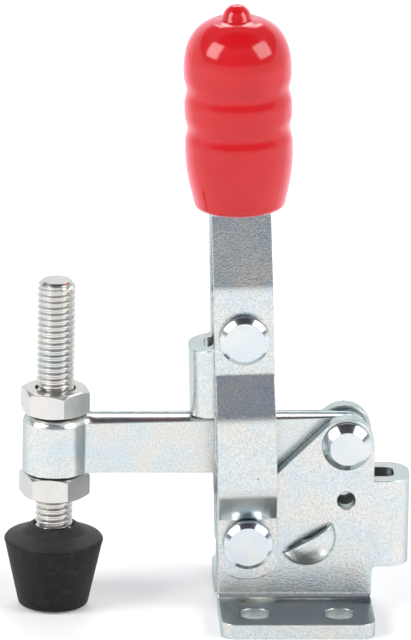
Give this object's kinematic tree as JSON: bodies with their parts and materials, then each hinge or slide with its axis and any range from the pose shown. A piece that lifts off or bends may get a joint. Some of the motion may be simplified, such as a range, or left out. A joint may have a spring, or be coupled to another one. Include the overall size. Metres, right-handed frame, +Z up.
{
  "type": "vertical toggle clamp",
  "caption": "Vertical-handle toggle clamp with a flanged base, a folded holding arm, an adjustable threaded spindle with a rubber foot, and a dipped handle grip.",
  "frame": {"origin": "middle of the clamp's footprint, on the underside of the base flanges", "axes": "+Z up, away from the table; -X towards the spindle; the two halves of the clamp are alike about Y = 0"},
  "size_m": [0.0654, 0.034, 0.1007],
  "materials": {
    "zinc_sheet": "bright zinc plate, blue passivated",
    "zinc_bolt": "clear zinc plate",
    "dipped_vinyl": "glossy dip",
    "neoprene": "satin moulded"
  },
  "bodies": {
    "base": {"base": "zinc_sheet", "near_arm_rivet": "zinc_sheet", "far_arm_rivet": "zinc_sheet"},
    "handle": {"handle": "zinc_sheet", "grip": "dipped_vinyl", "handle_rivet": "zinc_sheet"},
    "link": {"link": "zinc_sheet", "upper_link_rivet": "zinc_sheet"},
    "arm": {"arm": "zinc_sheet", "arm_rivet_shank": "zinc_sheet", "lower_link_rivet": "zinc_sheet", "upper_nut": "zinc_bolt", "lower_nut": "zinc_bolt"},
    "spindle": {"spindle": "zinc_bolt", "foot": "neoprene"}
  },
  "joints": [
    {"name": "handle_pivot", "type": "hinge", "parent": "base", "child": "handle", "pos_m": [0.00637, 0, 0.0129], "axis": [0, 1, 0], "range_deg": [0, 60]},
    {"name": "upper_link_pivot", "type": "hinge", "parent": "handle", "child": "link", "pos_m": [0.00517, 0, 0.04739], "axis": [0, 1, 0], "range_deg": [0, 73.36]},
    {"name": "lower_link_pivot", "type": "hinge", "parent": "link", "child": "arm", "pos_m": [0.00589, 0, 0.0267], "axis": [0, 1, 0], "range_deg": [-43.98, 0]},
    {"name": "spindle_adjust", "type": "slide", "parent": "arm", "child": "spindle", "axis": [0, 0, 1], "range_m": [-0.015, 0.0045]}
  ],
  "couplings": [
    {"joint": "upper_link_pivot", "follows": "handle_pivot", "ratio": 1.2224},
    {"joint": "lower_link_pivot", "follows": "handle_pivot", "ratio": -0.73272}
  ]
}
